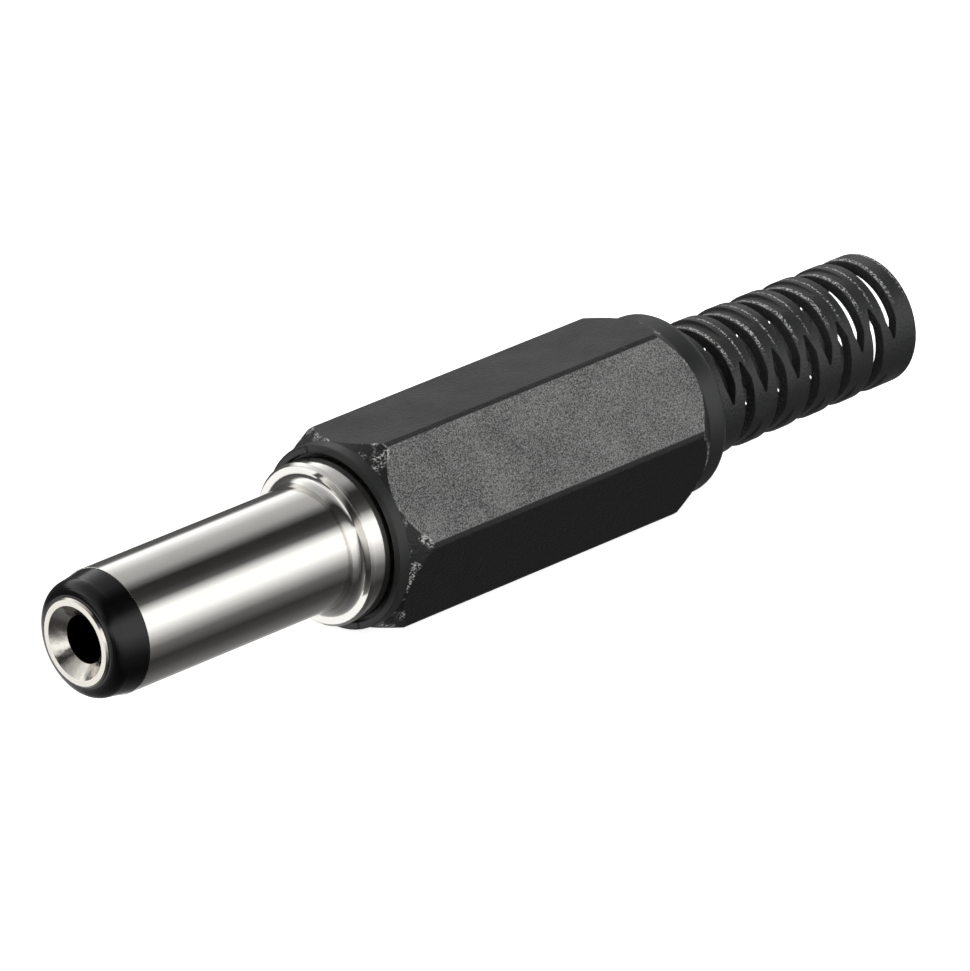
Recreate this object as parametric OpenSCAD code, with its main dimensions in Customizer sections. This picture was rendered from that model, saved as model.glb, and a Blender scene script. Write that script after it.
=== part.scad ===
// Solder-type dc barrel plug: a plated barrel with a centre contact, and a
// moulded handle with a slotted strain-relief boot that screws on from behind.
// The plug lies along X with its tip at -X, resting on a flat of the handle.

/* [Barrel] */
// Outside diameter of the barrel
barrel_d = 5.5; // [5:0.1:5.9]
// Length from the tip face to the collar
barrel_l = 13.5; // [9.5:0.1:16]
// Wall of the barrel tube
barrel_wall = 0.4; // [0.3:0.05:0.5]
// Radius of the fillet where the barrel meets the collar
barrel_fillet = 0.45; // [0.1:0.05:0.5]

/* [Insulator] */
// Length of black nose ahead of the barrel tube
nose_l = 1.65; // [1.2:0.05:2.4]
// How far the nose's front sits behind the tip face
nose_proud = 0.12; // [0.06:0.01:0.16]
// How much smaller the nose is than the barrel where they meet, in radius
nose_step = 0.03; // [0.01:0.01:0.06]
// Radius of the nose's rounded front edge
nose_r = 0.64; // [0.4:0.02:0.7]
// Diameter of the insulating tube inside the shank
tube_d = 3.6; // [3.3:0.05:3.8]

/* [Inner contact] */
// Bore that takes the pin of the jack
bore_d = 2.1; // [1.3:0.1:2.5]
// Depth of that bore from the tip face
bore_l = 12; // [9:0.5:13]
// Wall of the tubular front of the contact
contact_wall = 0.4; // [0.3:0.05:0.45]
// Outside diameter of the flared rim at the tip
rim_d = 3.88; // [3.7:0.02:4.1]
// Width of the bright flat ring round the countersink
rim_lip = 0.33; // [0.2:0.01:0.4]
// Depth of the countersink in the mouth
countersink_depth = 0.52; // [0.3:0.02:0.8]
// Thickness of the flared rim at its edge
rim_t = 0.22; // [0.18:0.01:0.3]
// Chamfer on the rim's outer edge
rim_edge = 0.08; // [0.03:0.01:0.1]
// Thickness of the rivet head at the rear
rivet_t = 0.35; // [0.25:0.05:0.5]
// How far the rivet head spreads past the tube
rivet_spread = 0.3; // [0.2:0.05:0.4]

/* [Collar and shank] */
// Diameter of the collar that the handle stops against
collar_d = 7.15; // [6.8:0.05:7.3]
// Length of the collar
collar_l = 1.35; // [1:0.05:2]
// Chamfer on the collar's front edge
collar_chamfer = 0.12; // [0.05:0.01:0.2]
// Diameter of the threaded shank
shank_d = 6.5; // [6.2:0.05:6.6]
// Length of the threaded shank
shank_l = 5.6; // [4:0.1:8]
// Width of the thread's run-out groove next to the collar
groove_w = 0.6; // [0.3:0.05:0.8]
// Depth of the run-out groove
groove_depth = 0.3; // [0.15:0.05:0.4]
// Wall of the spigot that carries the ground lug
spigot_wall = 0.4; // [0.3:0.05:0.4]

/* [Solder lugs] */
// Thickness of the stamped lugs
lug_t = 0.4; // [0.3:0.05:0.5]
// Outside diameter of the ground lug's ring
ground_ring_d = 6.1; // [5.9:0.05:6.2]
// Thickness of the insulating washer
washer_t = 0.6; // [0.4:0.05:1]
// Outside diameter of the centre lug's ring
centre_ring_d = 4.4; // [4.1:0.05:4.8]
// Width of the centre lug's tongue
tongue_w = 1.9; // [1.5:0.1:2.4]
// Length of the centre lug's tongue
tongue_l = 4.2; // [3:0.1:6]
// Diameter of the solder holes
solder_hole_d = 0.9; // [0.7:0.05:1.1]
// Inside radius of the bends in the lugs
bend_r = 0.15; // [0.1:0.01:0.2]
// Width of the ground lug's strip
strip_w = 2.2; // [1.6:0.1:2.4]
// Distance from the plug's axis to the strip's outer face
strip_drop = 2.9; // [2.85:0.01:2.95]
// Length of the strip from its ring to the clamp
strip_l = 4.6; // [3.8:0.1:6]
// Length of the cable clamp along the cable
clamp_l = 2.4; // [1.5:0.1:3]
// Angle that the open clamp ears wrap round the cable
clamp_wrap = 230; // [180:5:260]

/* [Handle] */
// Width of the hexagonal grip across its flats
across_flats = 8.15; // [8:0.05:9]
// How much the grip's sharp corners are rounded down
edge_cut = 0.09; // [0.05:0.01:0.2]
// Diameter of the smooth ring at the front and of the shoulder at the rear
ring_d = 8.1; // [7.9:0.05:8.1]
// Length of the front ring
ring_l = 0.62; // [0.4:0.02:1]
// Length of the hexagonal grip with its chamfers
grip_l = 17.8; // [15:0.1:22]
// Length of each end chamfer at the hexagon's corners
grip_chamfer = 0.9; // [0.5:0.05:1.4]
// Length of the round shoulder
shoulder_l = 1.25; // [0.8:0.05:2]
// Rounding of the shoulder's rear edge
shoulder_r = 0.5; // [0.2:0.05:0.7]
// Plastic left behind the cavity, where the cable bore starts
rear_wall = 1.6; // [1:0.1:3]
// Rounding of the front ring's edge
ring_r = 0.12; // [0.05:0.01:0.2]
// Step between the two mould halves on the front ring
mould_step = 0.05; // [0.02:0.01:0.1]

/* [Strain-relief boot] */
// Outside diameter at the shoulder
boot_d = 6.0; // [5.6:0.05:6.4]
// Outside diameter at the end ring
boot_end_d = 5.85; // [5.4:0.05:6.4]
// Bore that the cable comes in through
cable_d = 4.9; // [3.5:0.1:5]
// Number of upper slots; the lower row has one fewer
slot_count = 6; // [4:1:7]
// Spacing of the slots along the boot
slot_pitch = 2.0; // [1.9:0.05:2.3]
// Width of a slot
slot_w = 0.62; // [0.5:0.02:0.8]
// Width of a slot at its point
slot_tip_w = 0.12; // [0.08:0.02:0.3]
// How far each slot's point reaches past the boot's middle
slot_reach = 0.82; // [0.5:0.02:1.2]
// Width of the shallow step that each slot sits in
step_w = 1.26; // [1:0.02:1.3]
// Depth of that step where it is deepest
step_depth = 0.25; // [0.1:0.01:0.3]
// Angle of the slots' mould direction from upright
slot_turn = 15; // [0:1:30]
// Length from the shoulder to the middle of the first slot
root_l = 1.3; // [1:0.05:2]
// Length from the middle of the last slot to the boot's end
end_ring_l = 1.45; // [1:0.05:2]
// Rounding of the boot's end
boot_end_r = 0.15; // [0.05:0.01:0.3]

/* [Fits] */
// Length of handle thread past the end of the shank
thread_spare = 0.8; // [0.4:0.1:1.5]
// Radial gap between the handle's thread and the shank
thread_clear = 0.06; // [0.04:0.01:0.1]
// Radial gap between the collar and the recess in the front ring
collar_clear = 0.14; // [0.08:0.01:0.2]
// Depth of the recess that the collar seats in
seat_depth = 0.3; // [0.2:0.05:0.5]
// Gap that keeps the lugs clear of the handle's cavity
cavity_clear = 0.15; // [0.1:0.01:0.3]
// Gap between the insulating washer's edge and the bend of the ground lug
washer_clear = 0.05; // [0.03:0.01:0.08]

/* [Hidden] */
$fn = 96;
EPS = 0.01;

// Radii
barrel_r = barrel_d / 2;
sleeve_bore_r = barrel_r - barrel_wall;
bore_r = bore_d / 2;
contact_r = bore_r + contact_wall;
rim_r = rim_d / 2;
tube_r = tube_d / 2;
spigot_r = tube_r + spigot_wall;
washer_r = strip_drop - lug_t - bend_r - washer_clear;
collar_r = collar_d / 2;
shank_r = shank_d / 2;
ring_r_out = ring_d / 2;
thread_r = shank_r + thread_clear;
cavity_r = ground_ring_d / 2 + cavity_clear;
cable_r = cable_d / 2;
boot_r = boot_d / 2;
boot_end_out_r = boot_end_d / 2;
step_sink = 2 * step_depth;
step_rise = step_depth / 3;
flat_r = across_flats / 2;
sharp_r = flat_r / cos(30);
corner_r = sharp_r - edge_cut;

// Stations along the axis, from the tip face
step_x = barrel_l + collar_l / 2;
seat_x = barrel_l + collar_l;
shank_end = seat_x + shank_l;
spigot_end = shank_end + lug_t;
washer_end = spigot_end + washer_t;
centre_end = washer_end + lug_t;
contact_end = centre_end + rivet_t;
face_x = seat_x - seat_depth;
grip_x = face_x + ring_l;
shoulder_x = grip_x + grip_l;
boot_x = shoulder_x + shoulder_l;
cavity_end = boot_x - rear_wall;
first_slot = boot_x + root_l;
boot_end = first_slot + (slot_count - 1) * slot_pitch + end_ring_l;
clamp_x = shank_end + lug_t + strip_l;

// The origin is under the middle of the plug, on the surface it lies on
mid_x = boot_end / 2;
axis_z = flat_r;

// Puts shapes drawn round the Z axis, with the tip at zero, along the plug
module along_axis() {
    translate([-mid_x, 0, axis_z]) rotate([0, 90, 0]) children();
}

// Turns an outline of [radius, distance from the tip] points round the axis
module turned(outline) {
    along_axis() rotate_extrude() polygon(outline);
}

// Points of a quarter-round: centre, radius and the two end angles
function arc(centre, r, from, to, steps = 10) =
    [for (i = [0 : steps]) centre + r * [cos(from + (to - from) * i / steps),
                                         sin(from + (to - from) * i / steps)]];

module outer_sleeve() {
    color("silver")
    turned(concat(
        [[sleeve_bore_r, nose_l], [barrel_r, nose_l]],
        arc([barrel_r + barrel_fillet, barrel_l - barrel_fillet], barrel_fillet, 180, 90),
        [[collar_r - collar_chamfer, barrel_l], [collar_r, barrel_l + collar_chamfer],
         [collar_r, seat_x], [shank_r - groove_depth, seat_x],
         [shank_r - groove_depth, seat_x + groove_w],
         [shank_r, seat_x + groove_w + groove_depth],
         [shank_r, shank_end - groove_depth], [shank_r - groove_depth, shank_end],
         [spigot_r, shank_end], [spigot_r, spigot_end],
         [tube_r, spigot_end], [tube_r, step_x], [sleeve_bore_r, step_x]]));
}

module insulator() {
    flare = rim_r - contact_r;
    color("#1c1c1e")
    turned(concat(
        [[rim_r, rim_t], [rim_r, nose_proud]],
        arc([rim_r, nose_proud + nose_r], nose_r, -90, 0),
        [[barrel_r - nose_step, nose_l], [sleeve_bore_r, nose_l],
         [sleeve_bore_r, step_x], [tube_r, step_x], [tube_r, spigot_end],
         [contact_r, spigot_end], [contact_r, rim_t + flare]]));
}

module inner_contact() {
    flare = rim_r - contact_r;
    color("gainsboro")
    turned([
        [0, bore_l], [bore_r, bore_l - bore_r / 2], [bore_r, countersink_depth],
        [rim_r - rim_lip, 0], [rim_r - rim_edge, 0],
        [rim_r, rim_edge], [rim_r, rim_t], [contact_r, rim_t + flare],
        [contact_r, centre_end], [contact_r + rivet_spread, centre_end],
        [contact_r + rivet_spread / 2, contact_end], [0, contact_end]]);
}

module insulating_washer() {
    color("wheat")
    turned([[contact_r, spigot_end], [washer_r, spigot_end],
            [washer_r, washer_end], [contact_r, washer_end]]);
}

// A strip that leaves a ring at x = from, bends and runs rearwards with its
// outer face at the given height over the axis
module bent_strip(from, height, length, width) {
    bend_h = height - lug_t - bend_r;
    translate([-mid_x, 0, axis_z]) rotate([90, 0, 0])
    linear_extrude(width, center = true) {
        translate([from + lug_t + bend_r, bend_h]) intersection() {
            difference() {
                circle(bend_r + lug_t);
                circle(bend_r);
            }
            translate([-bend_r - lug_t, 0]) square(bend_r + lug_t);
        }
        translate([from, bend_h - 5 * EPS]) square([lug_t, 5 * EPS]);
        translate([from + lug_t + bend_r, height - lug_t])
            square([length - lug_t - bend_r, lug_t]);
    }
}

// The lug's ring, cut away where its strip bends off
module lug_ring(from, outer_r, hole_r, height, width) {
    bend_h = height - lug_t - bend_r;
    difference() {
        turned([[hole_r, from], [outer_r, from],
                [outer_r, from + lug_t], [hole_r, from + lug_t]]);
        translate([from - 1 - mid_x, -width / 2, axis_z + bend_h])
            cube([lug_t + 2, width, outer_r]);
    }
}

module centre_lug() {
    tongue_h = centre_ring_d / 2;
    end_x = washer_end + tongue_l;
    color("gold")
    difference() {
        union() {
            lug_ring(washer_end, centre_ring_d / 2, contact_r, tongue_h, tongue_w);
            bent_strip(washer_end, tongue_h, tongue_l, tongue_w);
            translate([end_x - mid_x, 0, axis_z + tongue_h - lug_t])
                cylinder(h = lug_t, d = tongue_w);
        }
        translate([end_x - mid_x, 0, axis_z]) cylinder(h = 2 * tongue_h, d = solder_hole_d);
    }
}

module ground_lug() {
    color("goldenrod")
    difference() {
        union() {
            mirror_down() {
                lug_ring(shank_end, ground_ring_d / 2, spigot_r, strip_drop, strip_w);
                bent_strip(shank_end, strip_drop, clamp_x - shank_end + bend_r, strip_w);
            }
            along_axis() translate([0, 0, clamp_x]) rotate([0, 0, -clamp_wrap / 2])
                rotate_extrude(angle = clamp_wrap)
                translate([strip_drop - lug_t, 0]) square([lug_t, clamp_l]);
        }
        translate([clamp_x - strip_l / 2 - mid_x, 0, axis_z - 2 * strip_drop])
            cylinder(h = 2 * strip_drop, d = solder_hole_d);
    }
}

// Mirrors what is over the axis to below it
module mirror_down() {
    translate([0, 0, axis_z]) mirror([0, 0, 1]) translate([0, 0, -axis_z]) children();
}

// Section of the grip: a hexagon with flats up and down
module grip_section() {
    polygon([for (i = [0 : 5]) sharp_r * [cos(60 * i + 30), sin(60 * i + 30)]]);
}

// Outside of the handle as turned, before the flats are cut
module handle_outside() {
    turned(concat(
        [[0, face_x]],
        arc([ring_r_out - ring_r, face_x + ring_r], ring_r, -90, 0, 4),
        [[ring_r_out, grip_x], [corner_r, grip_x + grip_chamfer],
         [corner_r, shoulder_x - grip_chamfer], [ring_r_out, shoulder_x]],
        arc([ring_r_out - shoulder_r, boot_x - shoulder_r], shoulder_r, 0, 90),
        [[boot_r, boot_x]],
        arc([boot_end_out_r - boot_end_r, boot_end - boot_end_r], boot_end_r, 0, 90, 4),
        [[0, boot_end]]));
}

// Recess, thread, cavity and cable bore
module handle_inside() {
    thread_end = shank_end + thread_spare;
    turned([
        [0, face_x - 1], [collar_r + collar_clear, face_x - 1],
        [collar_r + collar_clear, seat_x], [thread_r, seat_x],
        [thread_r, thread_end], [cavity_r, thread_end + thread_r - cavity_r],
        [cavity_r, cavity_end], [cable_r, cavity_end + cavity_r - cable_r],
        [cable_r, boot_end + 1], [0, boot_end + 1]]);
}

// One slot, open upwards and drawn to a point below, centred at x
module slot(x) {
    top = boot_r + 1;
    translate([x - mid_x, 0, 0]) rotate([90, 0, 0])
        linear_extrude(2 * boot_d, center = true)
        polygon([[-slot_tip_w / 2, -slot_reach], [slot_tip_w / 2, -slot_reach],
                 [slot_w / 2, 0], [slot_w / 2, top], [-slot_w / 2, top], [-slot_w / 2, 0]]);
}

// Shallow step behind a slot: all that stands over a low, flatter round
module slot_step(x, rise) {
    low_r = boot_r + step_sink - step_depth;
    translate([x - slot_w / 2 - mid_x, 0, 0]) difference() {
        translate([0, -boot_d, 0]) cube([step_w, 2 * boot_d, boot_d]);
        translate([-EPS, 0, -step_sink]) rotate([0, 90, 0])
            cylinder(h = step_w + 2 * EPS, r1 = low_r, r2 = low_r + rise);
    }
}

// The upper row of slots, and the lower row set half a pitch along
module boot_slots() {
    translate([0, 0, axis_z]) rotate([-slot_turn, 0, 0]) {
        for (i = [0 : slot_count - 1]) {
            slot(first_slot + i * slot_pitch);
            slot_step(first_slot + i * slot_pitch, i < slot_count - 1 ? step_rise : step_depth);
        }
        mirror([0, 0, 1]) for (i = [0 : slot_count - 2]) {
            slot(first_slot + (i + 0.5) * slot_pitch);
            slot_step(first_slot + (i + 0.5) * slot_pitch, step_rise);
        }
    }
}

// Shallow step that the near half of the mould leaves on the front ring
module mould_step_cut() {
    translate([face_x - 1 - mid_x, 0, axis_z]) rotate([-slot_turn, 0, 0])
        translate([0, -ring_d, -ring_d]) cube([1 + mould_step, ring_d, 2 * ring_d]);
}

module handle() {
    color("#2b2b2d")
    difference() {
        intersection() {
            handle_outside();
            along_axis() translate([0, 0, face_x - 1])
                linear_extrude(boot_end - face_x + 2) grip_section();
        }
        handle_inside();
        boot_slots();
        mould_step_cut();
    }
}

handle();
outer_sleeve();
insulator();
inner_contact();
insulating_washer();
centre_lug();
ground_lug();
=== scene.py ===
"""Finishes of the dc barrel plug, the thread on its shank, and the small studio it lies in."""

import math

import bmesh
import bpy
from mathutils import Matrix, Vector


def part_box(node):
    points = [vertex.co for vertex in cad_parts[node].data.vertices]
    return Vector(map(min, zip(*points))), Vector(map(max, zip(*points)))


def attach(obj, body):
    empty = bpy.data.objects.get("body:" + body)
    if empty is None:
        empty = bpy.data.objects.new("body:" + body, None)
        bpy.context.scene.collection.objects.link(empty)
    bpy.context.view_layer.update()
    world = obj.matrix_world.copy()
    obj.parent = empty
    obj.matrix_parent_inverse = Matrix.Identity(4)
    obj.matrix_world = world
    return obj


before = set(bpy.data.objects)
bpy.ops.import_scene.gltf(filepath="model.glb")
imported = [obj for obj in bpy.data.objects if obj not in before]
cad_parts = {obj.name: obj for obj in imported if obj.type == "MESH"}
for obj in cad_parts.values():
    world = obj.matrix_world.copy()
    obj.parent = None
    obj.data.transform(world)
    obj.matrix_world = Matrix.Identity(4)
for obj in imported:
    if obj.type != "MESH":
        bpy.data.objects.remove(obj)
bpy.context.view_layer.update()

MM = 0.001
TIP_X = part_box("inner_contact")[0][0]
AXIS_Z = (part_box("insulator")[0][2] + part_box("insulator")[1][2]) / 2

# Stations along the plug in mm from its tip, as the solids have them
COUNTERSINK = 0.52
BORE_END = 12.0
COLLAR_END = 14.85
GRIP_START = 15.17
SHANK_END = 20.45
GRIP_END = 32.97
BOOT_START = 34.22
FIRST_SLOT = 35.52
BOOT_END = 46.97

# Other sizes in mm, as the solids have them
SLOT_PITCH = 2.0
FLAT_R = 4.075
RING_R = 4.05
CORNER_R = 4.616
CHAMFER_L = 0.9
SHANK_R = 3.25

# The shank's thread in mm. The groove before it and the chamfer after it are left bare.
THREAD_PITCH = 0.5
THREAD_HEIGHT = 0.05
THREAD_SINK = 0.03
HALF_RIDGE = 0.4 * THREAD_PITCH
RELIEF = 0.9
END_CHAMFER = 0.3

# Straight steps that one turn of the thread is made of
STEPS_A_TURN = 72

# Bands of painted glints on the boot, behind each slot and at the step in the middle of each
# land:
# start, end and fade as shares of the slots' spacing
BEHIND_SLOT = (0.20, 0.27, 0.03)
MID_LAND = (0.61, 0.64, 0.02)

# Height in mm over the axis where those painted glints begin, and where they are at their full
# number
GLINTS_BEGIN = 1.3
GLINTS_FULL = 2.2

# How far the pair of flats drawn paler, as painted light, leans from upright
LIT_FLATS_TILT = math.radians(30)

# Sockets of a mix node in its colour mode: the two colours in, and the colour out
FIRST, SECOND, MIXED = 6, 7, 2


def along(station):
    """The x, in metres, of a station given in mm from the tip."""
    return TIP_X + station * MM


def linear(code):
    """An sRGB hex colour as the linear numbers, alpha last, that a shader takes."""
    parts = [int(code[i:i + 2], 16) / 255 for i in (1, 3, 5)]
    return [p / 12.92 if p <= 0.04045 else ((p + 0.055) / 1.055) ** 2.4 for p in parts] + [1.0]


def add(tree, kind, inputs=None, **settings):
    """Adds a node: settings are its own properties, inputs its sockets' values or links."""
    node = tree.nodes.new(kind)
    for name, value in settings.items():
        setattr(node, name, value)
    for key, value in (inputs or {}).items():
        if isinstance(value, bpy.types.Node):
            value = value.outputs[0]
        if isinstance(value, bpy.types.NodeSocket):
            tree.links.new(value, node.inputs[key])
        else:
            node.inputs[key].default_value = value
    return node


def surface(name):
    """A bare material: its tree, and the point on the object in metres."""
    material = bpy.data.materials.new(name)
    material.use_nodes = True
    material.node_tree.nodes.clear()
    tree = material.node_tree
    return material, tree, add(tree, "ShaderNodeTexCoord").outputs["Object"]


# ---------------------------------------------------------------- finishes

def black_moulded_plastic():
    """ABS from a mould textured by spark erosion: matt, with a fine sparkling grain on the flats
    and the boot.

    The round front ring and shoulder are smoother. One opposite pair of flats is drawn paler
    and more speckled than the rest, as painted light. Painted glints, as near-white spots, lie
    on the facets at the grip's corners and behind each slot on the top of the boot.
    """
    material, tree, point = surface("black_abs_eroded_mould")
    place = add(tree, "ShaderNodeSeparateXYZ", {0: point})
    x = place.outputs["X"]

    def between(value, start, end, fade):
        """1 between two values, fading to 0 over a width outside each."""
        rise = add(tree, "ShaderNodeMapRange", {
            "Value": value, "From Min": start - fade, "From Max": start})
        fall = add(tree, "ShaderNodeMapRange", {
            "Value": value, "From Min": end, "From Max": end + fade,
            "To Min": 1.0, "To Max": 0.0})
        return add(tree, "ShaderNodeMath", {0: rise, 1: fall}, operation="MULTIPLY")

    # The boot's mask runs 1 mm past its end, to take in the end face
    fade, thin, past_end = 0.06 * MM, 0.01 * MM, 1.0 * MM
    on_grip = between(x, along(GRIP_START), along(GRIP_END), fade)
    on_boot = between(x, along(BOOT_START), along(BOOT_END) + past_end, fade)
    grainy = add(tree, "ShaderNodeMath", {0: on_grip, 1: on_boot}, operation="MAXIMUM")

    # Spark erosion leaves pits some hundredths of a mm across, with beads between them. Both
    # are drawn about 0.1 mm across, so that they show.
    pits = add(tree, "ShaderNodeTexNoise", {
        "Vector": point, "Scale": 1 / (0.075 * MM), "Detail": 2.0, "Roughness": 0.7})
    beads = add(tree, "ShaderNodeTexVoronoi", {"Vector": point, "Scale": 1 / (0.12 * MM)})
    height = add(tree, "ShaderNodeMath", {0: pits, 1: beads.outputs["Distance"]},
                 operation="SUBTRACT")
    depth = add(tree, "ShaderNodeMapRange", {"Value": grainy, "To Min": 0.1, "To Max": 1.0})

    # The pair of flats drawn paler as painted light: how far a point is from the axis, square
    # to that pair, and the thin layer of those distances, in mm under and over the flats, that
    # counts as on them
    under, over = 0.02, 0.05
    square = add(tree, "ShaderNodeVectorMath", {
        0: point, 1: (0.0, -math.cos(LIT_FLATS_TILT), math.sin(LIT_FLATS_TILT))},
        operation="DOT_PRODUCT")
    out = add(tree, "ShaderNodeMath", {
        0: square.outputs["Value"], 1: AXIS_Z * math.sin(LIT_FLATS_TILT)}, operation="SUBTRACT")
    painted_lit_flats = add(tree, "ShaderNodeMath", {
        0: between(add(tree, "ShaderNodeMath", {0: out}, operation="ABSOLUTE"),
                   (FLAT_R - under) * MM, (FLAT_R + over) * MM, under * MM),
        1: on_grip}, operation="MULTIPLY")

    # The facets at the corners are part of one cone at each end of the grip
    round_axis = add(tree, "ShaderNodeVectorMath", {
        0: point, 1: (0.0, 1.0, 1.0), 2: (0.0, 0.0, -AXIS_Z)}, operation="MULTIPLY_ADD")
    radius = add(tree, "ShaderNodeVectorMath", {0: round_axis}, operation="LENGTH")
    off_cone = 0.03 * MM
    facets = None
    for start, way in ((GRIP_START, 1), (GRIP_END, -1)):
        ends = [along(start), along(start + way * CHAMFER_L)]
        radii = [RING_R * MM, CORNER_R * MM][::way]
        cone = add(tree, "ShaderNodeMapRange", {
            "Value": x, "From Min": min(ends), "From Max": max(ends),
            "To Min": radii[0], "To Max": radii[1]})
        off = add(tree, "ShaderNodeMath", {0: radius.outputs["Value"], 1: cone},
                  operation="SUBTRACT")
        near = add(tree, "ShaderNodeMath", {
            0: between(off, -off_cone, off_cone, thin),
            1: between(x, min(ends), max(ends), thin)}, operation="MULTIPLY")
        facets = near if facets is None else add(
            tree, "ShaderNodeMath", {0: facets, 1: near}, operation="MAXIMUM")

    # Painted glints in bands along the top of the boot, thinning out down its sides, and in
    # bunches on the facets
    step = add(tree, "ShaderNodeMath", {
        0: add(tree, "ShaderNodeMath", {0: x, 1: along(FIRST_SLOT)}, operation="SUBTRACT"),
        1: SLOT_PITCH * MM}, operation="DIVIDE")
    share = add(tree, "ShaderNodeMath", {0: step}, operation="FRACT")
    edge = between(share, *BEHIND_SLOT)
    middle = between(share, *MID_LAND)
    on_top = add(tree, "ShaderNodeMapRange", {
        "Value": place.outputs["Z"], "From Min": AXIS_Z + GLINTS_BEGIN * MM,
        "From Max": AXIS_Z + GLINTS_FULL * MM})
    bands = add(tree, "ShaderNodeMath", {
        0: add(tree, "ShaderNodeMath", {0: edge, 1: middle}, operation="MAXIMUM"),
        1: add(tree, "ShaderNodeMath", {0: on_top, 1: on_boot}, operation="MULTIPLY")},
        operation="MULTIPLY")
    glint_noise = add(tree, "ShaderNodeTexNoise", {
        "Vector": point, "Scale": 1 / (0.09 * MM), "Detail": 1.0})
    bunches = add(tree, "ShaderNodeTexNoise", {
        "Vector": point, "Scale": 1 / (0.7 * MM), "Detail": 1.0})
    bunched = add(tree, "ShaderNodeMath", {
        0: facets, 1: add(tree, "ShaderNodeMapRange", {
            "Value": bunches, "From Min": 0.52, "From Max": 0.66})}, operation="MULTIPLY")
    glints = add(tree, "ShaderNodeMath", {
        0: add(tree, "ShaderNodeMapRange", {
            "Value": glint_noise, "From Min": 0.46, "From Max": 0.64}),
        1: add(tree, "ShaderNodeMath", {0: bands, 1: bunched}, operation="MAXIMUM")},
        operation="MULTIPLY")

    # Soft patches some mm across, as handling leaves, and specks a few hundredths across that
    # are drawn coarser so that they show
    handled = add(tree, "ShaderNodeTexNoise", {
        "Vector": point, "Scale": 1 / (2.2 * MM), "Detail": 3.0})
    rough = add(tree, "ShaderNodeMapRange", {
        "Value": handled, "From Min": 0.3, "From Max": 0.7, "To Min": 0.42, "To Max": 0.54})
    specks = add(tree, "ShaderNodeTexNoise", {
        "Vector": point, "Scale": 1 / (0.065 * MM), "Detail": 1.0})
    patchy = add(tree, "ShaderNodeMath", {
        0: specks, 1: add(tree, "ShaderNodeMapRange", {
            "Value": handled, "From Min": 0.3, "From Max": 0.7,
            "To Min": -0.05, "To Max": 0.05})}, operation="ADD")
    tone = add(tree, "ShaderNodeMapRange", {
        "Value": patchy, "From Min": 0.34, "From Max": 0.70})
    # Painted light: the lit pair of flats takes the grain's specks in tones far paler than the
    # other flats
    grain_and_painted_light = add(tree, "ShaderNodeMix", {
        "Factor": tone, FIRST: linear("#363737"), SECOND: linear("#989997")}, data_type="RGBA")
    plain = add(tree, "ShaderNodeMix", {
        "Factor": on_grip, FIRST: linear("#252626"), SECOND: linear("#0f0f10")},
        data_type="RGBA")
    grey = add(tree, "ShaderNodeMix", {
        "Factor": painted_lit_flats, FIRST: plain.outputs[MIXED], SECOND: grain_and_painted_light.outputs[MIXED]},
        data_type="RGBA")
    # Painted glints: near-white spots over the grain
    colour = add(tree, "ShaderNodeMix", {
        "Factor": glints, FIRST: grey.outputs[MIXED], SECOND: linear("#cfd0cc")},
        data_type="RGBA")

    # A mould's corners come out about 0.1 mm round
    soft_edge = add(tree, "ShaderNodeBevel", {"Radius": 0.09 * MM}, samples=4)
    bump = add(tree, "ShaderNodeBump", {
        "Strength": depth, "Distance": 0.017 * MM, "Height": height, "Normal": soft_edge})
    shader = add(tree, "ShaderNodeBsdfPrincipled", {
        "Base Color": colour.outputs[MIXED], "Roughness": rough, "IOR": 1.53,
        "Specular IOR Level": 0.45, "Normal": bump})
    add(tree, "ShaderNodeOutputMaterial", {"Surface": shader})
    return material


def turned_nickel():
    """Brass turned on a lathe and bright nickel plated: fine rings round it under the plate,
    a few hair scratches along it, and slightly cloudy where it has been handled."""
    material, tree, point = surface("bright_nickel_on_turned_brass")
    stretch = add(tree, "ShaderNodeMapping", {"Vector": point, "Scale": (1.0, 0.02, 0.02)})
    # Real tool marks are some hundredths of a mm apart. They are drawn about 0.09 mm apart, so
    # that they show.
    rings = add(tree, "ShaderNodeTexNoise", {
        "Vector": stretch, "Scale": 1 / (0.09 * MM), "Detail": 1.0})
    drag = add(tree, "ShaderNodeMapping", {"Vector": point, "Scale": (0.06, 1.0, 1.0)})
    scratches = add(tree, "ShaderNodeTexNoise", {
        "Vector": drag, "Scale": 1 / (0.16 * MM), "Detail": 3.0})
    clouds = add(tree, "ShaderNodeTexNoise", {
        "Vector": point, "Scale": 1 / (1.8 * MM), "Detail": 4.0})
    rough = add(tree, "ShaderNodeMapRange", {
        "Value": clouds, "From Min": 0.3, "From Max": 0.7, "To Min": 0.07, "To Max": 0.13})
    height = add(tree, "ShaderNodeMath", {0: rings, 1: scratches}, operation="ADD")
    bump = add(tree, "ShaderNodeBump", {
        "Strength": 0.16, "Distance": 0.003 * MM, "Height": height,
        "Normal": add(tree, "ShaderNodeBevel", {"Radius": 0.04 * MM}, samples=4)})
    colour = add(tree, "ShaderNodeMix", {
        "Factor": clouds, FIRST: linear("#d2d0cb"), SECOND: linear("#dddbd7")}, data_type="RGBA")
    shader = add(tree, "ShaderNodeBsdfPrincipled", {
        "Base Color": colour.outputs[MIXED], "Metallic": 1.0, "Roughness": rough,
        "Normal": bump})
    add(tree, "ShaderNodeOutputMaterial", {"Surface": shader})
    return material


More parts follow.
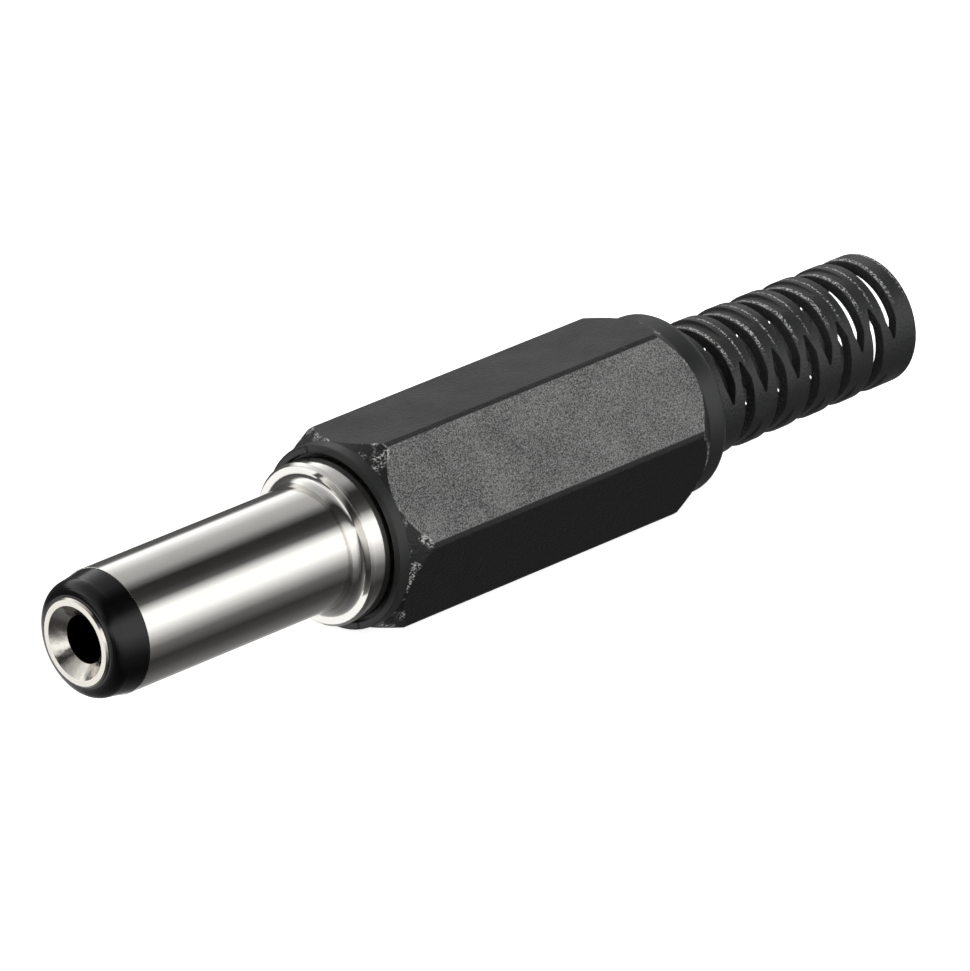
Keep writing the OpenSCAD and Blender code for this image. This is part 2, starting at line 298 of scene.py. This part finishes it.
def pressed_nickel():
    """Nickel plate on the flared and pressed mouth of the contact: bright, in soft patches
    about half a mm across like those that a punch leaves."""
    material, tree, point = surface("bright_nickel_on_pressed_contact")
    dents = add(tree, "ShaderNodeTexNoise", {
        "Vector": point, "Scale": 1 / (0.55 * MM), "Detail": 3.0})
    rough = add(tree, "ShaderNodeMapRange", {
        "Value": dents, "From Min": 0.35, "From Max": 0.65, "To Min": 0.10, "To Max": 0.30})
    bump = add(tree, "ShaderNodeBump", {
        "Strength": 0.6, "Distance": 0.03 * MM, "Height": dents})
    colour = add(tree, "ShaderNodeMix", {
        "Factor": dents, FIRST: linear("#b9b5ab"), SECOND: linear("#e4e1da")}, data_type="RGBA")
    # Painted shade: the bore's wall is drawn dark, so that it reads as a deep hole. It darkens
    # over 0.15 mm.
    fade = 0.15
    x = add(tree, "ShaderNodeSeparateXYZ", {0: point})
    past_mouth = add(tree, "ShaderNodeMapRange", {
        "Value": x, "From Min": along(COUNTERSINK), "From Max": along(COUNTERSINK + fade)})
    before_end = add(tree, "ShaderNodeMapRange", {
        "Value": x, "From Min": along(BORE_END), "From Max": along(BORE_END + fade),
        "To Min": 1.0, "To Max": 0.0})
    painted_bore_shade = add(tree, "ShaderNodeMath", {0: past_mouth, 1: before_end},
                 operation="MULTIPLY")
    dark = add(tree, "ShaderNodeMix", {
        "Factor": painted_bore_shade, FIRST: colour.outputs[MIXED], SECOND: linear("#1d1b19")},
        data_type="RGBA")
    shader = add(tree, "ShaderNodeBsdfPrincipled", {
        "Base Color": dark.outputs[MIXED], "Metallic": 1.0, "Roughness": rough,
        "Normal": bump})
    add(tree, "ShaderNodeOutputMaterial", {"Surface": shader})
    return material


def polished_black_plastic():
    """Polybutylene insulator from a polished mould: glossy black with a faint orange peel."""
    material, tree, point = surface("black_pbt_polished_mould")
    peel = add(tree, "ShaderNodeTexNoise", {
        "Vector": point, "Scale": 1 / (0.5 * MM), "Detail": 2.0})
    bump = add(tree, "ShaderNodeBump", {
        "Strength": 0.25, "Distance": 0.008 * MM, "Height": peel})
    rough = add(tree, "ShaderNodeMapRange", {"Value": peel, "To Min": 0.10, "To Max": 0.22})
    colour = add(tree, "ShaderNodeMix", {
        "Factor": peel, FIRST: linear("#060607"), SECOND: linear("#0e0e0f")}, data_type="RGBA")
    shader = add(tree, "ShaderNodeBsdfPrincipled", {
        "Base Color": colour.outputs[MIXED], "Roughness": rough, "IOR": 1.55,
        "Specular IOR Level": 0.3, "Normal": bump})
    add(tree, "ShaderNodeOutputMaterial", {"Surface": shader})
    return material


def tinned_brass():
    """Stamped brass strip dipped in tin: soft pale grey with a dull, slightly runny skin."""
    material, tree, point = surface("hot_tinned_stamped_brass")
    runs = add(tree, "ShaderNodeTexNoise", {
        "Vector": point, "Scale": 1 / (0.7 * MM), "Detail": 4.0})
    bump = add(tree, "ShaderNodeBump", {
        "Strength": 0.5, "Distance": 0.02 * MM, "Height": runs})
    rough = add(tree, "ShaderNodeMapRange", {"Value": runs, "To Min": 0.22, "To Max": 0.45})
    colour = add(tree, "ShaderNodeMix", {
        "Factor": runs, FIRST: linear("#a9a79c"), SECOND: linear("#cfcdc4")}, data_type="RGBA")
    shader = add(tree, "ShaderNodeBsdfPrincipled", {
        "Base Color": colour.outputs[MIXED], "Metallic": 1.0, "Roughness": rough,
        "Normal": bump})
    add(tree, "ShaderNodeOutputMaterial", {"Surface": shader})
    return material


def fibre_board():
    """Red-brown vulcanised fibre, punched: dull, with short paper fibres in it."""
    material, tree, point = surface("vulcanised_fibre_punched")
    fibres = add(tree, "ShaderNodeTexNoise", {
        "Vector": add(tree, "ShaderNodeMapping", {"Vector": point, "Scale": (1.0, 0.25, 1.0)}),
        "Scale": 1 / (0.12 * MM), "Detail": 4.0})
    bump = add(tree, "ShaderNodeBump", {
        "Strength": 0.5, "Distance": 0.012 * MM, "Height": fibres})
    colour = add(tree, "ShaderNodeMix", {
        "Factor": fibres, FIRST: linear("#6a3a20"), SECOND: linear("#94603c")}, data_type="RGBA")
    rough = add(tree, "ShaderNodeMapRange", {"Value": fibres, "To Min": 0.6, "To Max": 0.85})
    shader = add(tree, "ShaderNodeBsdfPrincipled", {
        "Base Color": colour.outputs[MIXED], "Roughness": rough, "IOR": 1.5,
        "Normal": bump})
    add(tree, "ShaderNodeOutputMaterial", {"Surface": shader})
    return material


nickel = turned_nickel()
tin = tinned_brass()
FINISHES = {
    "handle": black_moulded_plastic(),
    "outer_sleeve": nickel,
    "insulator": polished_black_plastic(),
    "inner_contact": pressed_nickel(),
    "insulating_washer": fibre_board(),
    "centre_lug": tin,
    "ground_lug": tin,
}
for node_name, material in FINISHES.items():
    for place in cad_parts[node_name].material_slots:
        place.material = material


# ---------------------------------------------------------------- shank thread

def shank_thread():
    """The fine thread that the handle screws on by: one ridge wound round the shank,
    sunk a little into it, rising from nothing and dying away over half a turn."""
    start, end = COLLAR_END + RELIEF, SHANK_END - END_CHAMFER
    count = int((end - start) / THREAD_PITCH * STEPS_A_TURN)
    mesh = bmesh.new()
    rows = []
    for i in range(count + 1):
        turn = i / STEPS_A_TURN
        angle = 2 * math.pi * turn
        rise = min(1.0, 2 * turn, 2 * (count / STEPS_A_TURN - turn))
        x = start + turn * THREAD_PITCH
        row = []
        for dx, r in ((-HALF_RIDGE, -THREAD_SINK), (0.0, THREAD_HEIGHT * rise),
                      (HALF_RIDGE, -THREAD_SINK)):
            radius = (SHANK_R + r) * MM
            row.append(mesh.verts.new((along(x + dx), radius * math.cos(angle),
                                       AXIS_Z + radius * math.sin(angle))))
        rows.append(row)
    for one, two in zip(rows, rows[1:]):
        for k in range(3):
            n = (k + 1) % 3
            mesh.faces.new((one[k], two[k], two[n], one[n]))
    mesh.faces.new(rows[0])
    mesh.faces.new(rows[-1])
    bmesh.ops.recalc_face_normals(mesh, faces=mesh.faces)
    data = bpy.data.meshes.new("shank_thread")
    mesh.to_mesh(data)
    mesh.free()
    thread = bpy.data.objects.new("shank_thread", data)
    bpy.context.collection.objects.link(thread)
    data.materials.append(nickel)
    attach(thread, "core")


shank_thread()


# ---------------------------------------------------------------- studio

# Long soft boxes lie along the plug. Each pair is an angle round the plug, in degrees from
# the far side over the top, and how bright that direction is.
STRIPS = ((0, 0.06), (22, 0.10), (31, 1.0), (38, 1.0), (50, 0.68), (65, 0.42), (88, 0.31),
          (99, 0.13), (108, 0.02), (126, 0.03), (138, 0.08), (147, 0.55), (156, 1.0),
          (180, 1.0), (193, 0.61), (205, 0.32), (217, 0.12), (242, 0.03), (262, 0.05),
          (300, 0.15), (318, 0.30), (328, 0.9), (342, 0.9), (352, 0.06))
STRIP_POWER = 1.55

# The floor's radius in metres, and how far in mm it lies below the plug
FLOOR_R = 2.5
FLOOR_GAP = 0.01

# The camera's place in metres, the way it looks, the way to its right, and its lens in mm
CAMERA_AT = (-0.30053, -0.330031, 0.154378)
CAMERA_LOOKS = (0.63785, 0.70053, -0.32)
CAMERA_RIGHT = (0.71214, -0.69469, -0.1013)
CAMERA_LENS = 414.36


def studio():
    """The strips as the world's light, and a weak soft box overhead."""
    world = bpy.data.worlds.new("studio")
    bpy.context.scene.world = world
    world.use_nodes = True
    tree = world.node_tree
    tree.nodes.clear()
    way = add(tree, "ShaderNodeSeparateXYZ",
              {0: add(tree, "ShaderNodeTexCoord").outputs["Generated"]})
    angle = add(tree, "ShaderNodeMath", {0: way.outputs["Z"], 1: way.outputs["Y"]},
                operation="ARCTAN2")
    share = add(tree, "ShaderNodeMath", {0: angle, 1: 2 * math.pi}, operation="DIVIDE")
    wrapped = add(tree, "ShaderNodeMath", {0: share, 1: 1.0}, operation="FLOORED_MODULO")
    strips = add(tree, "ShaderNodeValToRGB", {"Fac": wrapped})
    ramp = strips.color_ramp
    while len(ramp.elements) < len(STRIPS):
        ramp.elements.new(0.5)
    for element, (degrees, level) in zip(ramp.elements, STRIPS):
        element.position = degrees / 360
        element.color = (level, level, level, 1)
    light = add(tree, "ShaderNodeBackground", {"Color": strips, "Strength": STRIP_POWER})
    add(tree, "ShaderNodeOutputWorld", {"Surface": light})

    lamp = bpy.data.lights.new("overhead_softbox", "AREA")
    lamp.size = 0.7
    lamp.energy = 1.0
    overhead = bpy.data.objects.new("overhead_softbox", lamp)
    overhead.location = (0.05, 0.1, 0.6)
    overhead.visible_glossy = False
    bpy.context.collection.objects.link(overhead)


def pale_floor():
    """A wide white table that glows a little. Nothing mirrors it or is lit by it."""
    mesh = bmesh.new()
    bmesh.ops.create_circle(mesh, cap_ends=True, segments=96, radius=FLOOR_R)
    data = bpy.data.meshes.new("floor")
    mesh.to_mesh(data)
    mesh.free()
    floor = bpy.data.objects.new("floor", data)
    floor.location.z = -FLOOR_GAP * MM
    bpy.context.collection.objects.link(floor)
    floor.visible_glossy = False
    floor.visible_diffuse = False
    material, tree, _ = surface("white_light_table")
    shader = add(tree, "ShaderNodeBsdfPrincipled", {
        "Base Color": linear("#f4f4f4"), "Roughness": 0.9,
        "Emission Color": linear("#ffffff"), "Emission Strength": 0.85})
    add(tree, "ShaderNodeOutputMaterial", {"Surface": shader})
    data.materials.append(material)


def camera():
    """A long lens beyond the tip and to one side, looking down on the plug, rolled a little."""
    lens = bpy.data.cameras.new("camera")
    lens.sensor_fit = "HORIZONTAL"
    lens.sensor_width = 36.0
    lens.lens = CAMERA_LENS
    lens.clip_start = 0.02
    lens.clip_end = 10.0
    view = bpy.data.objects.new("camera", lens)
    forward = Vector(CAMERA_LOOKS).normalized()
    right = Vector(CAMERA_RIGHT)
    right = (right - forward * right.dot(forward)).normalized()
    up = right.cross(forward)
    turn = Matrix((right, up, -forward)).transposed().to_4x4()
    view.matrix_world = Matrix.Translation(CAMERA_AT) @ turn
    bpy.context.collection.objects.link(view)
    bpy.context.scene.camera = view


studio()
pale_floor()
camera()
bpy.context.scene.view_settings.view_transform = "Standard"
